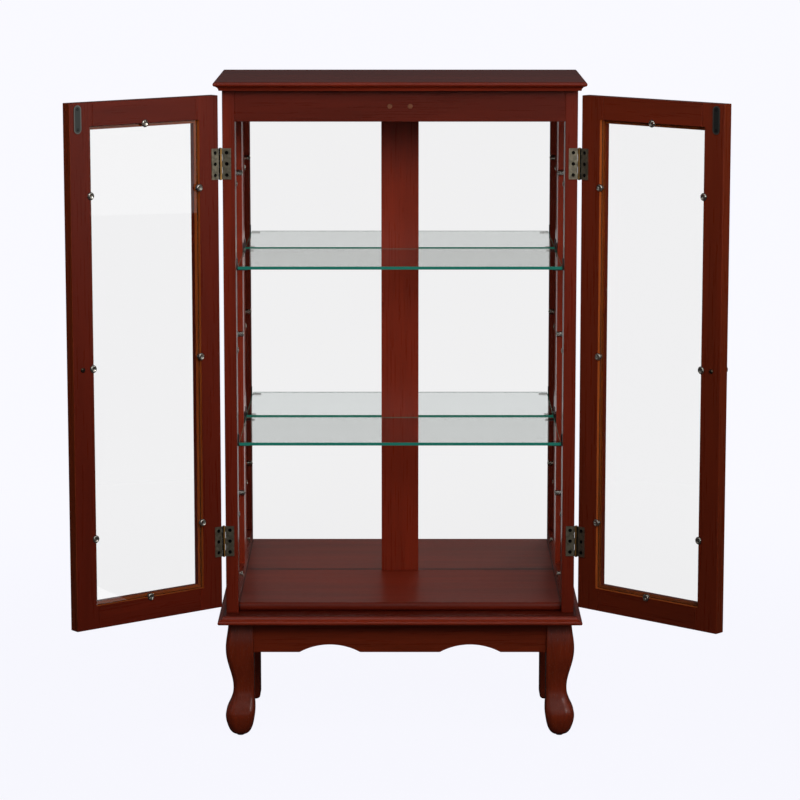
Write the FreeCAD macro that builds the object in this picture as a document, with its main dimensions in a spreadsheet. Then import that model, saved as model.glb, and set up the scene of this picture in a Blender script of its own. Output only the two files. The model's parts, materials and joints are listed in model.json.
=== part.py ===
"""A two-door display cabinet on legs: glazed sides and doors, glass shelves and a mirrored back.

The frame is X to the right, Y to the rear and Z up, in millimetres, with the origin on the floor under the
middle of the carcass. The doors are built closed about their own hinge axis and then swung open.
"""
import FreeCAD
import Part
import Sketcher
import math
import os

# Driving dimensions, in millimetres and degrees
SIZES = {
    # Carcass and boards
    "cabinet_width": 570,
    "cabinet_depth": 282,
    "cabinet_height": 1082,
    "top_board_thickness": 14,
    "base_board_thickness": 14,
    "front_overhang": 33,
    "side_overhang": 13,
    "nose_radius": 3.5,
    "cove_inset": 9,
    "cove_radius": 8,
    "floor_thickness": 14,
    "floor_setback": 13,
    "floor_nose_radius": 6.5,
    "edge_ease": 1,
    "cut_overrun": 5,
    # Legs and aprons
    "leg_height": 197,
    "leg_width": 44.4,
    "rear_leg_ease": 2.2,
    "rear_foot_round": 8,
    "glide_radius": 6,
    "glide_height": 2.5,
    "glide_ease": 1,
    "apron_height": 53.5,
    "apron_thickness": 18,
    "apron_setback": 6,
    "apron_clearance": 0.3,
    "arch_width": 100,
    "arch_height": 12.8,
    "arch_spacing": 231,
    # Side frames and front rail
    "side_thickness": 20,
    "side_front_stile": 48,
    "side_rear_stile": 60,
    "side_bottom_rail": 41,
    "side_top_rail": 51,
    "side_rebate_width": 6,
    "side_rebate_depth": 13,
    "side_glass_thickness": 4,
    "glass_clearance": 0.5,
    "front_rail_height": 51,
    "front_rail_thickness": 18,
    # Mirrored back
    "rear_rebate_width": 12,
    "rear_rebate_depth": 10,
    "mirror_thickness": 4,
    "mirror_overlap": 4,
    "mirror_joint": 0.6,
    "back_thickness": 4,
    "back_clearance": 0.5,
    "back_screw_end_distance": 60,
    "center_stile_width": 63,
    "center_stile_thickness": 9,
    # Shelves and their brackets
    "shelf_thickness": 5,
    "shelf_end_gap": 2.5,
    "shelf_front_setback": 15,
    "shelf_rear_gap": 1,
    "shelf_edge_bevel": 0.6,
    "lower_shelf_height": 487.3,
    "upper_shelf_height": 776.5,
    "bracket_width": 10,
    "bracket_rise": 17,
    "bracket_plate": 1.6,
    "bracket_tongue": 18,
    "bracket_tongue_thickness": 2.5,
    "bracket_front_inset": 29,
    "bracket_rear_inset": 27,
    "peg_radius": 2.4,
    "peg_length": 8,
    "peg_rise": 8,
    "peg_clearance": 0.1,
    "peg_hole_pitch": 72,
    # Doors
    "door_meeting_gap": 3,
    "door_bottom_gap": 10.5,
    "door_top_gap": 8.5,
    "door_gap": 3.4,
    "door_thickness": 18.5,
    "door_frame_width": 43,
    "door_rebate_width": 6,
    "door_rebate_depth": 8.75,
    "door_glass_thickness": 4,
    "left_open_angle": 141,
    "right_open_angle": 137.5,
    # Hinges
    "hinge_height": 50,
    "hinge_leaf_width": 14,
    "hinge_leaf_thickness": 1.2,
    "hinge_end_distance": 110,
    "hinge_screw_spacing": 18,
    "knuckle_radius": 2.6,
    "knuckle_side_gap": 0.3,
    "knuckle_gap": 0.3,
    "pin_radius": 1.25,
    "pin_clearance": 0.05,
    "pin_head_radius": 2.1,
    "pin_head_height": 1.2,
    # Clips, catches and knobs
    "clip_radius": 4.7,
    "clip_thickness": 1.2,
    "clip_reach": 0.6,
    "clip_wall_gap": 0.15,
    "clip_spacing": 273,
    "clip_screw_offset": 2,
    "strike_width": 13.5,
    "strike_length": 44.5,
    "strike_thickness": 1.2,
    "strike_edge_distance": 14.8,
    "strike_top_distance": 25.5,
    "strike_screw_spacing": 31.5,
    "magnet_radius": 4,
    "magnet_depth": 8,
    "magnet_proud": 1.3,
    "magnet_rise": 7.7,
    "magnet_clearance": 0.1,
    "knob_edge_distance": 18,
    "knob_radius": 8.5,
    "knob_height": 20,
    "knob_engagement": 9,
    "knob_hole_clearance": 0.3,
    # Screws: head radius, head height, shank radius and length of each kind
    "hinge_screw_head": 2.9,
    "hinge_screw_sink": 1.1,
    "hinge_screw_shank": 1.5,
    "hinge_screw_length": 14,
    "hinge_screw_clearance": 0.05,
    "strike_screw_head": 2.2,
    "strike_screw_sink": 1,
    "strike_screw_shank": 1.2,
    "strike_screw_length": 10,
    "clip_screw_head": 1.9,
    "clip_screw_rise": 1,
    "clip_screw_shank": 1.1,
    "clip_screw_length": 9,
    "knob_screw_head": 4,
    "knob_screw_rise": 2.2,
    "knob_screw_shank": 2,
    "back_screw_head": 3,
    "back_screw_rise": 1.6,
    "back_screw_shank": 1.5,
    "back_screw_length": 16,
}

# Leg sections from the top down. The height is a share of the leg above its glide, the insets from the
# carcass corner and the corner radii are shares of the leg's width.
FRONT_LEG_SHARES = (
    # height, outer inset, inner inset, outer corner, other corners
    (1.0, 0.036, 1.0, 0.14, 0.05),
    (0.80, -0.036, 1.0, 0.20, 0.06),
    (0.59, 0.068, 1.0, 0.22, 0.08),
    (0.42, 0.216, 1.0, 0.22, 0.12),
    (0.28, 0.09, 1.01, 0.28, 0.18),
    (0.17, -0.068, 1.01, 0.34, 0.26),
    (0.09, -0.011, 0.946, 0.34, 0.28),
    (0.034, 0.09, 0.845, 0.30, 0.26),
    (0.0, 0.27, 0.676, 0.17, 0.15),
)
# Knob profile from its seat to its crown, with the radius as a share of the knob's and the height of its own
KNOB_SHARES = ((0.70, 0.0), (0.70, 0.06), (0.45, 0.16), (0.38, 0.38),
               (0.86, 0.58), (1.0, 0.72), (0.62, 0.95))
CROSS_LENGTH_SHARE = 0.58
CROSS_WIDTH_SHARE = 0.14
CROSS_DEPTH_SHARE = 0.6
SCREW_TIP_SHARE = 0.25
PAN_FLAT_SHARE = 0.55
ARC_EASE_SHARE = 0.75
KNUCKLES = 5
BACK_SCREWS_PER_SIDE = 4
BOX_EDGES = range(1, 13)
ROD_FOOT_EDGE = (2,)
ROD_TOP_EDGE = (3,)

doc = FreeCAD.newDocument("display_cabinet")
sheet = doc.addObject("Spreadsheet::Sheet", "sizes")
for row, (alias, number) in enumerate(SIZES.items(), start=1):
    sheet.set(f"A{row}", alias)
    sheet.set(f"B{row}", str(number))
    sheet.setAlias(f"B{row}", alias)
doc.recompute()

nodes = []


class Size:
    """A length worked out from the sheet, kept as the expression that a property is bound to."""

    def __init__(self, text):
        self.text = str(text)

    def joined(self, sign, other, reflected=False):
        pair = [self.text, other.text if isinstance(other, Size) else str(other)]
        if reflected:
            pair.reverse()
        return Size(f"({pair[0]} {sign} {pair[1]})")

    def __add__(self, other):
        return self.joined("+", other)

    def __sub__(self, other):
        return self.joined("-", other)

    def __mul__(self, other):
        return self.joined("*", other)

    def __rmul__(self, other):
        return self.joined("*", other, reflected=True)

    def __truediv__(self, other):
        return self.joined("/", other)

    def __neg__(self):
        return Size(f"(0 - {self.text})")

    @property
    def value(self):
        return float(doc.sizes.evalExpression(self.text))


class Dims:
    """The sheet's cells by name."""

    def __getattr__(self, alias):
        return Size(f"sizes.{alias}")


dims = Dims()
ZERO = Size("0")

# Planes and heights that the pieces share
half_width = dims.cabinet_width / 2
front = -dims.cabinet_depth / 2
back = dims.cabinet_depth / 2
base_top = dims.leg_height + dims.base_board_thickness
floor_top = base_top + dims.floor_thickness
roof = dims.cabinet_height - dims.top_board_thickness
inner = half_width - dims.side_thickness
mirror_front = back - dims.rear_rebate_depth
axis_reach = dims.knuckle_radius + dims.knuckle_side_gap
axis_x = half_width + axis_reach
axis_y = front - dims.door_gap / 2
door_width = half_width - dims.door_meeting_gap / 2
door_low = base_top + dims.door_bottom_gap
door_high = roof - dims.door_top_gap
door_middle = (door_low + door_high) / 2
HANDS = (("left", 1, dims.left_open_angle), ("right", -1, dims.right_open_angle))
X, Y, Z = FreeCAD.Vector(1, 0, 0), FreeCAD.Vector(0, 1, 0), FreeCAD.Vector(0, 0, 1)


def span(side, near, far):
    """The range from near to far on the positive side of an axis, or its mirror image."""
    return (near, far) if side > 0 else (-far, -near)


def point(x, y, z):
    """A vector from three sizes."""
    return FreeCAD.Vector(x.value, y.value, z.value)


def seat(origin, out, toward):
    """The place of a small fitting: its own Z points out of the face it sits on and its own Y along it."""
    return FreeCAD.Placement(origin, FreeCAD.Rotation(toward.cross(out), toward, out, "ZYX"))


def node(piece, label, placement=None):
    """Marks a finished piece as a part of the cabinet."""
    piece.Label = label
    if placement:
        piece.Placement = placement
    nodes.append(piece)
    return piece


def block(name, x, y, z):
    """A box between two planes on each axis."""
    box = doc.addObject("Part::Box", name)
    for prop, axis, (low, high) in zip(("Length", "Width", "Height"), "xyz", (x, y, z)):
        box.setExpression(prop, (high - low).text)
        box.setExpression(f"Placement.Base.{axis}", low.text)
    return box


def rod(name, radius, length, placement=None):
    """A cylinder along its own Z."""
    cylinder = doc.addObject("Part::Cylinder", name)
    cylinder.setExpression("Radius", radius.text)
    cylinder.setExpression("Height", length.text)
    if placement:
        cylinder.Placement = placement
    return cylinder


def rounded(name, base, radius, numbers=BOX_EDGES):
    """A base solid with some of its edges rounded."""
    solid = doc.addObject("Part::Fillet", name)
    solid.Base = base
    solid.Edges = [(number, radius.value, radius.value) for number in numbers]
    return solid


def without(name, base, *tools):
    """A base solid with other solids cut out of it."""
    for number, tool in enumerate(tools):
        cut = doc.addObject("Part::Cut", f"{name}_cut_{number}")
        cut.Base = base
        cut.Tool = tool
        base = cut
    return base


def board(label, x, y, z, cuts=(), placement=None):
    """A wooden board with eased edges, less its rebates and holes."""
    eased = rounded(f"{label}_eased", block(f"{label}_stock", x, y, z), dims.edge_ease)
    return node(without(label, eased, *cuts), label, placement)


def plate(label, x, y, z, bevel, placement=None):
    """A pane with its sharp edges taken off."""
    solid = doc.addObject("Part::Chamfer", f"{label}_bevelled")
    solid.Base = block(f"{label}_stock", x, y, z)
    solid.Edges = [(number, bevel.value, bevel.value) for number in BOX_EDGES]
    return node(solid, label, placement)


def copies(label, sets, placement=None):
    """Identical fittings at their seats, as one group of separate solids."""
    shapes = []
    for master, seats in sets:
        for place in seats:
            shape = master.Shape.copy()
            shape.Placement = place
            shapes.append(shape)
    group = doc.addObject("Part::Feature", label)
    group.Shape = Part.makeCompound(shapes)
    return node(group, label, placement)


def arc_between(start, end, radius, turn):
    """The shorter arc from start to end. It turns left for +1 and right for -1."""
    chord = end - start
    rise = math.sqrt(max(radius ** 2 - (chord.Length / 2) ** 2, 0))
    center = (start + end) * 0.5 + FreeCAD.Vector(-chord.y, chord.x, 0).normalize() * rise * turn
    first, last = (start, end) if turn > 0 else (end, start)
    angles = [math.atan2(spot.y - center.y, spot.x - center.x) for spot in (first, last)]
    return Part.ArcOfCircle(Part.Circle(center, Z, radius), *angles)


def outline(body, name, plane, corners, height=ZERO):
    """A closed sketch. A corner is x, y and, where the edge after it is an arc, a radius and a turn."""
    sketch = body.newObject("Sketcher::SketchObject", name)
    support = [feature for feature in body.Origin.OriginFeatures if feature.Role == plane]
    sketch.AttachmentSupport = [(support[0], "")]
    sketch.MapMode = "FlatFace"
    sketch.setExpression("AttachmentOffset.Base.z", height.text)
    spots = [FreeCAD.Vector(corner[0].value, corner[1].value, 0) for corner in corners]
    ends = []
    for number, corner in enumerate(corners):
        start, end = spots[number], spots[(number + 1) % len(spots)]
        if len(corner) == 2:
            sketch.addGeometry(Part.LineSegment(start, end))
            ends.append((1, 2))
        else:
            radius, turn = corner[2:]
            sketch.addGeometry(arc_between(start, end, radius.value, turn))
            ends.append((1, 2) if turn > 0 else (2, 1))
    for number, corner in enumerate(corners):
        before = number - 1 if number else len(corners) - 1
        meet = (before, ends[before][1], number, ends[number][0])
        sketch.addConstraint(Sketcher.Constraint("Coincident", *meet))
        for kind, size in zip(("DistanceX", "DistanceY"), corner):
            place = sketch.addConstraint(Sketcher.Constraint(kind, number, ends[number][0], size.value))
            sketch.setExpression(f"Constraints[{place}]", size.text)
        if len(corner) > 2:
            place = sketch.addConstraint(Sketcher.Constraint("Radius", number, corner[2].value))
            sketch.setExpression(f"Constraints[{place}]", corner[2].text)
    return sketch


def new_body(name):
    """An empty body to build features in."""
    return doc.addObject("PartDesign::Body", name)


def pad(body, sketch, length, symmetric=False):
    """Material added along a sketch's normal."""
    feature = body.newObject("PartDesign::Pad", f"{body.Name}_pad")
    feature.Profile = sketch
    feature.SideType = "Symmetric" if symmetric else "One side"
    feature.setExpression("Length", length.text)
    return feature


def pocket(body, sketch, length, symmetric=False):
    """Material cut away against a sketch's normal."""
    feature = body.newObject("PartDesign::Pocket", f"{body.Name}_pocket")
    feature.Profile = sketch
    feature.SideType = "Symmetric" if symmetric else "One side"
    feature.setExpression("Length", length.text)
    return feature


def turned(name, corners):
    """A turned piece, from the outline of its half section, about its own Z."""
    body = new_body(name)
    sketch = outline(body, f"{name}_profile", "XZ_Plane", corners)
    feature = body.newObject("PartDesign::Revolution", f"{name}_turning")
    feature.Profile = sketch
    feature.ReferenceAxis = (sketch, ["V_Axis"])
    return body


def moulding(tip, inward, low, high):
    """Corners of a moulded edge, from its plain face at low to its round nose at high.

    tip is where the nose reaches to and inward the direction, +1 or -1, from there into the board.
    """
    rise = 1 if high.value > low.value else -1
    turn = -inward * rise
    nose = dims.nose_radius
    return [
        (tip + inward * dims.cove_inset, low, dims.cove_radius, -turn),
        (tip + inward * nose, high - rise * (2 * nose), nose, turn),
        (tip, high - rise * nose, nose, turn),
        (tip + inward * nose, high),
    ]


def moulded_board(label, plain, nosed):
    """The top or base board: its front moulding runs along X, and the side mouldings are cut along Y."""
    body = new_body(label)
    reach = front - dims.front_overhang
    edge = moulding(reach, 1, plain, nosed)
    profile = outline(body, f"{label}_front", "YZ_Plane", edge + [(back, nosed), (back, plain)])
    side = half_width + dims.side_overhang
    pad(body, profile, 2 * side + 2 * dims.cut_overrun, symmetric=True)
    for hand in (-1, 1):
        edge = moulding(hand * side, -hand, plain, nosed)
        outside = hand * (side + 2 * dims.cut_overrun)
        corners = edge + [(outside, nosed), (outside, plain)]
        waste = outline(body, f"{label}_side_{hand + 1}", "XZ_Plane", corners)
        pocket(body, waste, 2 * dims.cabinet_depth, symmetric=True)
    return node(body, label)


def cabriole_leg(label, corner_x, corner_y, turn):
    """A front leg lofted through rounded squares, from the carcass corner inwards, turned to its place."""
    body = new_body(label)
    stock = dims.leg_height - dims.glide_height
    sections = []
    for number, (height, outer, inner_edge, outer_round, other_round) in enumerate(FRONT_LEG_SHARES):
        near, far = dims.leg_width * outer, dims.leg_width * inner_edge
        big, small = dims.leg_width * outer_round, dims.leg_width * other_round
        corners = [
            (near + big, near),
            (far - small, near, small, 1),
            (far, near + small),
            (far, far - small, small, 1),
            (far - small, far),
            (near + small, far, small, 1),
            (near, far - small),
            (near, near + big, big, 1),
        ]
        level = dims.glide_height + stock * height
        sections.append(outline(body, f"{label}_section_{number}", "XY_Plane", corners, level))
    loft = body.newObject("PartDesign::AdditiveLoft", f"{label}_loft")
    loft.Profile = sections[0]
    loft.Sections = sections[1:]
    place = FreeCAD.Placement(point(corner_x, corner_y, ZERO), FreeCAD.Rotation(Z, turn))
    return node(body, label, place)


def straight_leg(label, x, y):
    """A rear leg: a square post with eased corners and a rounded foot."""
    post = block(f"{label}_stock", x, y, (dims.glide_height, dims.leg_height))
    doc.recompute()
    solid = doc.addObject("Part::Fillet", f"{label}_rounded")
    solid.Base = post
    edges = []
    for number, edge in enumerate(post.Shape.Edges, start=1):
        if edge.BoundBox.ZLength > dims.rear_foot_round.value:
            edges.append((number, dims.rear_leg_ease.value, dims.rear_leg_ease.value))
        elif edge.BoundBox.ZMax < (dims.glide_height + dims.rear_foot_round).value:
            edges.append((number, dims.rear_foot_round.value, dims.rear_foot_round.value))
    solid.Edges = edges
    return node(solid, label)


def screw(name, head, rise, shank, length, sunk):
    """A cross-head wood screw, sunk flush or with a round head. Its bearing face is at its own zero."""
    tip = length * SCREW_TIP_SHARE
    if sunk:
        top = ZERO
        corners = [(ZERO, ZERO), (ZERO, -length), (shank, tip - length), (shank, -rise), (head, ZERO)]
    else:
        top = rise
        flat = head * PAN_FLAT_SHARE
        corners = [(ZERO, rise), (ZERO, -length), (shank, tip - length), (shank, ZERO),
                   (head, ZERO, head, 1), (flat, rise)]
    body = turned(name, corners)
    long, wide = head * CROSS_LENGTH_SHARE, head * CROSS_WIDTH_SHARE
    arm = [(long, -wide), (long, wide), (wide, wide), (wide, long), (-wide, long), (-wide, wide),
           (-long, wide), (-long, -wide), (-wide, -wide), (-wide, -long), (wide, -long), (wide, -wide)]
    recess = outline(body, f"{name}_recess", "XY_Plane", arm, top)
    pocket(body, recess, rise * CROSS_DEPTH_SHARE)
    return body


def clip(name, leg_length):
    """A round clip that holds a pane in its rebate, with its own Y from the rebate's edge over the glass."""
    center = FreeCAD.Placement(point(ZERO, dims.clip_reach, ZERO), FreeCAD.Rotation())
    disc = rounded(f"{name}_disc", rod(f"{name}_blank", dims.clip_radius, dims.clip_thickness, center),
                   dims.clip_thickness / 2, ROD_TOP_EDGE)
    low = FreeCAD.Placement(point(ZERO, dims.clip_reach, -leg_length), FreeCAD.Rotation())
    post = rod(f"{name}_post", dims.clip_radius, leg_length, low)
    wide = (-dims.clip_radius, dims.clip_radius)
    over_wood = block(f"{name}_over_wood", wide, (-2 * dims.clip_radius, dims.clip_wall_gap),
                      (-leg_length - dims.cut_overrun, ZERO))
    foot = without(f"{name}_foot", post, over_wood)
    whole = doc.addObject("Part::Fuse", f"{name}_whole")
    whole.Base = disc
    whole.Tool = foot
    under = point(ZERO, -dims.clip_screw_offset, -dims.clip_thickness / 2)
    hole = rod(f"{name}_hole", dims.clip_screw_shank + dims.pin_clearance, 2 * dims.clip_thickness,
               FreeCAD.Placement(under, FreeCAD.Rotation()))
    return without(name, whole, hole)


def clip_seats(edges):
    """Where clips sit. Each edge is a spot on the rebate's edge, the way over the glass and the way out."""
    return [seat(origin, out, toward) for origin, toward, out in edges]


def clip_screw_seats(seats):
    """Where the clips' screws sit, on top of the clips and off the rebate's edge."""
    shift = FreeCAD.Placement(point(ZERO, -dims.clip_screw_offset, dims.clip_thickness), FreeCAD.Rotation())
    return [place.multiply(shift) for place in seats]


def hinge_leaf(name, side, knuckles):
    """One hinge leaf about the pin's axis: a plate beside the knuckles, on the side of Y that side gives."""
    plate_y = span(side, dims.door_gap / 2 - dims.hinge_leaf_thickness, dims.door_gap / 2)
    half = dims.hinge_height / 2
    flat = block(f"{name}_plate", (axis_reach, axis_reach + dims.hinge_leaf_width), plate_y, (-half, half))
    pieces = [flat]
    pitch = dims.hinge_height / KNUCKLES
    for number in knuckles:
        low = pitch * number - half + (dims.knuckle_gap / 2 if number else ZERO)
        high = pitch * (number + 1) - half - (dims.knuckle_gap / 2 if number + 1 < KNUCKLES else ZERO)
        pieces.append(block(f"{name}_tab_{number}", (ZERO, axis_reach), plate_y, (low, high)))
        barrel = rod(f"{name}_barrel_{number}", dims.knuckle_radius, high - low)
        barrel.setExpression("Placement.Base.z", low.text)
        pieces.append(barrel)
    whole = doc.addObject("Part::MultiFuse", f"{name}_whole")
    whole.Shapes = pieces
    bore = rod(f"{name}_bore", dims.pin_radius + dims.pin_clearance, 2 * dims.hinge_height)
    bore.setExpression("Placement.Base.z", (-dims.hinge_height).text)
    tools = [bore]
    for number, place in enumerate(leaf_screw_seats(side)):
        sink = doc.addObject("Part::Cone", f"{name}_sink_{number}")
        run = dims.hinge_leaf_thickness / dims.hinge_screw_sink
        slope = (dims.hinge_screw_head - dims.hinge_screw_shank) * run
        sink.setExpression("Radius1", (dims.hinge_screw_head - slope + dims.hinge_screw_clearance).text)
        sink.setExpression("Radius2", (dims.hinge_screw_head + dims.hinge_screw_clearance).text)
        sink.setExpression("Height", dims.hinge_leaf_thickness.text)
        down = FreeCAD.Placement(point(ZERO, ZERO, -dims.hinge_leaf_thickness), FreeCAD.Rotation())
        sink.Placement = place.multiply(down)
        tools.append(sink)
    return without(name, whole, *tools)


def leaf_screw_seats(side):
    """The three screws of a leaf, flush with the face that the leaf turns to the other leaf."""
    x = axis_reach + dims.hinge_leaf_width / 2
    y = (dims.door_gap / 2 - dims.hinge_leaf_thickness) * side
    return [seat(point(x, y, dims.hinge_screw_spacing * step), Y * -side, Z) for step in (-1, 0, 1)]


def turned_over(hand):
    """A hinge is the same upside down, so the right-hand one is the left-hand one turned over."""
    return FreeCAD.Rotation(Y, 0 if hand > 0 else 180)


hinge_levels = (door_low + dims.hinge_end_distance, door_high - dims.hinge_end_distance)

# Moulded boards, floor, legs and aprons
moulded_board("top_board", roof, dims.cabinet_height)
moulded_board("base_board", base_top, dims.leg_height)

floor_front = front + dims.floor_setback
floor_stock = block("floor_stock", (-inner, inner), (floor_front, mirror_front), (base_top, floor_top))
doc.recompute()
front_edges = [number for number, edge in enumerate(floor_stock.Shape.Edges, start=1)
               if edge.BoundBox.YMax < (floor_front + dims.edge_ease).value
               and edge.BoundBox.XLength > dims.floor_thickness.value]
node(rounded("floor_nosed", floor_stock, dims.floor_nose_radius, front_edges), "floor_board")

for side, hand in (("left", -1), ("right", 1)):
    cabriole_leg(f"front_{side}_leg", hand * half_width, front, 0 if hand < 0 else 90)
    straight_leg(f"rear_{side}_leg", span(hand, half_width - dims.leg_width, half_width),
                 (back - dims.leg_width, back))

glide_blank = rod("glide_blank", dims.glide_radius, dims.glide_height)
glide = rounded("glide", glide_blank, dims.glide_ease, ROD_FOOT_EDGE)

apron_low = dims.leg_height - dims.apron_height
apron_end = half_width - dims.leg_width - dims.apron_clearance
apron_front = front + dims.apron_setback
arch_radius = dims.arch_width * dims.arch_width / (8 * dims.arch_height) + dims.arch_height / 2
scallops = []
for step in (-1, 1):
    middle = step * dims.arch_spacing / 2
    scallops.append((middle - dims.arch_width / 2, apron_low, arch_radius, -1))
    scallops.append((middle + dims.arch_width / 2, apron_low))
front_apron = new_body("front_apron")
apron_face = outline(front_apron, "apron_face", "XZ_Plane", [
    (-apron_end, dims.leg_height), (-apron_end, apron_low), *scallops,
    (apron_end, apron_low), (apron_end, dims.leg_height)], -apron_front - dims.apron_thickness)
pad(front_apron, apron_face, dims.apron_thickness)
node(front_apron, "front_apron")
board("rear_apron", (-apron_end, apron_end), (-apron_front - dims.apron_thickness, -apron_front),
      (apron_low, dims.leg_height))
apron_run = back - dims.leg_width - dims.apron_clearance
for side, hand in (("left", -1), ("right", 1)):
    outer = half_width - dims.apron_setback
    board(f"{side}_apron", span(hand, outer - dims.apron_thickness, outer), (-apron_run, apron_run),
          (apron_low, dims.leg_height))

# Side frames
bracket_lines = (front + dims.bracket_front_inset, mirror_front - dims.bracket_rear_inset)
shelf_heights = {"lower": dims.lower_shelf_height, "upper": dims.upper_shelf_height}
seat_y = (front + dims.side_front_stile - dims.side_rebate_width,
          back - dims.side_rear_stile + dims.side_rebate_width)
seat_z = (base_top + dims.side_bottom_rail - dims.side_rebate_width,
          roof - dims.side_top_rail + dims.side_rebate_width)
side_clip_places = []
for side, hand in (("left", -1), ("right", 1)):
    thick = span(hand, inner, half_width)
    pane_face = inner + dims.side_rebate_depth
    rebate = block(f"{side}_side_rebate", span(hand, inner - dims.cut_overrun, pane_face), seat_y, seat_z)
    rear_cut = span(hand, inner - dims.cut_overrun, inner + dims.rear_rebate_width)
    rear_rebate = block(f"{side}_rear_rebate", rear_cut, (mirror_front, back + dims.cut_overrun),
                        (base_top - dims.cut_overrun, roof + dims.cut_overrun))
    hole_rows = []
    for line in bracket_lines:
        holes = []
        for level in shelf_heights.values():
            for step in (-1, 0, 1):
                origin = point(hand * inner, line, level + dims.peg_rise + step * dims.peg_hole_pitch)
                holes.append(rod(f"{side}_peg_hole", dims.peg_radius + dims.peg_clearance,
                                 dims.peg_length + dims.peg_clearance, seat(origin, X * hand, Z)))
        row = doc.addObject("Part::Compound", f"{side}_peg_holes")
        row.Links = holes
        hole_rows.append(row)
    board(f"{side}_side_front_stile", thick, (front, front + dims.side_front_stile), (base_top, roof),
          (rebate, hole_rows[0]))
    board(f"{side}_side_rear_stile", thick, (back - dims.side_rear_stile, back), (base_top, roof),
          (rebate, rear_rebate, hole_rows[1]))
    rail_run = (front + dims.side_front_stile, back - dims.side_rear_stile)
    bottom_rail = (base_top, base_top + dims.side_bottom_rail)
    board(f"{side}_side_bottom_rail", thick, rail_run, bottom_rail, (rebate,))
    board(f"{side}_side_top_rail", thick, rail_run, (roof - dims.side_top_rail, roof), (rebate,))
    pane_y = (seat_y[0] + dims.glass_clearance, seat_y[1] - dims.glass_clearance)
    pane_z = (seat_z[0] + dims.glass_clearance, seat_z[1] - dims.glass_clearance)
    plate(f"{side}_side_glass", span(hand, pane_face - dims.side_glass_thickness, pane_face), pane_y, pane_z,
          dims.shelf_edge_bevel)
    middle_y = (seat_y[0] + seat_y[1]) / 2
    face = hand * inner
    out = X * -hand
    for step in (-1, 0, 1):
        level = door_middle + step * dims.clip_spacing
        side_clip_places.append((point(face, seat_y[0], level), Y, out))
        side_clip_places.append((point(face, seat_y[1], level), Y * -1, out))
    side_clip_places.append((point(face, middle_y, seat_z[0]), Z, out))
    side_clip_places.append((point(face, middle_y, seat_z[1]), Z * -1, out))

# Front rail with the catches, mirrors, their stile and the back panel
strike_level = door_high - dims.strike_top_distance
magnet_level = strike_level + dims.magnet_rise
magnet_x = dims.door_meeting_gap / 2 + dims.strike_edge_distance
magnet_hole_places = [seat(point(hand * magnet_x, front, magnet_level), Y, Z) for hand in (-1, 1)]
magnet_holes = doc.addObject("Part::Compound", "magnet_holes")
hole_radius = dims.magnet_radius + dims.magnet_clearance
magnet_holes.Links = [rod("magnet_hole", hole_radius, dims.magnet_depth, place)
                      for place in magnet_hole_places]
board("front_top_rail", (-inner, inner), (front, front + dims.front_rail_thickness),
      (roof - dims.front_rail_height, roof), (magnet_holes,))
magnet_blank = rod("magnet_blank", dims.magnet_radius, dims.magnet_depth + dims.magnet_proud)
magnet_blank.setExpression("Placement.Base.z", (-dims.magnet_proud).text)
magnet = rounded("magnet", magnet_blank, dims.magnet_proud / 2, ROD_FOOT_EDGE)

for side, hand in (("left", -1), ("right", 1)):
    plate(f"{side}_mirror", span(hand, dims.mirror_joint / 2, inner + dims.mirror_overlap),
          (mirror_front, mirror_front + dims.mirror_thickness), (base_top, roof), dims.shelf_edge_bevel)
half_stile = dims.center_stile_width / 2
stile_front = mirror_front - dims.center_stile_thickness
board("mirror_center_stile", (-half_stile, half_stile), (stile_front, mirror_front), (floor_top, roof))
panel_front = mirror_front + dims.mirror_thickness
panel_x = inner + dims.rear_rebate_width - dims.back_clearance
plate("back_panel", (-panel_x, panel_x), (panel_front, panel_front + dims.back_thickness), (base_top, roof),
      dims.back_clearance)
back_screw = screw("back_screw", dims.back_screw_head, dims.back_screw_rise, dims.back_screw_shank,
                   dims.back_screw_length, sunk=False)
back_screw_x = inner + (dims.mirror_overlap + dims.rear_rebate_width) / 2
back_screw_run = roof - base_top - 2 * dims.back_screw_end_distance
back_screw_places = []
for hand in (-1, 1):
    for number in range(BACK_SCREWS_PER_SIDE):
        share = number / (BACK_SCREWS_PER_SIDE - 1)
        level = base_top + dims.back_screw_end_distance + back_screw_run * share
        origin = point(hand * back_screw_x, panel_front + dims.back_thickness, level)
        back_screw_places.append(seat(origin, Y, Z))

# Shelves on their brackets, each with its own origin on the stile's face under the glass and X into the case
for name, level in shelf_heights.items():
    reach = inner - dims.shelf_end_gap
    run = (front + dims.shelf_front_setback, stile_front - dims.shelf_rear_gap)
    plate(f"{name}_shelf", (-reach, reach), run, (level, level + dims.shelf_thickness),
          dims.shelf_edge_bevel)
half_bracket = dims.bracket_width / 2
strip = block("bracket_strip", (ZERO, dims.bracket_plate), (-half_bracket, half_bracket),
              (-dims.bracket_tongue_thickness, dims.bracket_rise))
upright = rounded("bracket_upright", strip, dims.bracket_plate / 3)
tongue_body = new_body("bracket_tongue")
tongue_end = dims.bracket_tongue - half_bracket
tongue_face = outline(tongue_body, "tongue_face", "XY_Plane", [
    (dims.bracket_plate / 2, -half_bracket), (tongue_end, -half_bracket, half_bracket, 1),
    (dims.bracket_tongue, ZERO, half_bracket, 1), (tongue_end, half_bracket),
    (dims.bracket_plate / 2, half_bracket)], -dims.bracket_tongue_thickness)
pad(tongue_body, tongue_face, dims.bracket_tongue_thickness)
peg = rod("bracket_peg", dims.peg_radius, dims.peg_length + dims.bracket_plate / 2)
peg.Placement = seat(point(dims.bracket_plate / 2, ZERO, dims.peg_rise), X * -1, Z)
bracket = doc.addObject("Part::MultiFuse", "shelf_bracket")
bracket.Shapes = [upright, tongue_body, peg]

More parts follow.
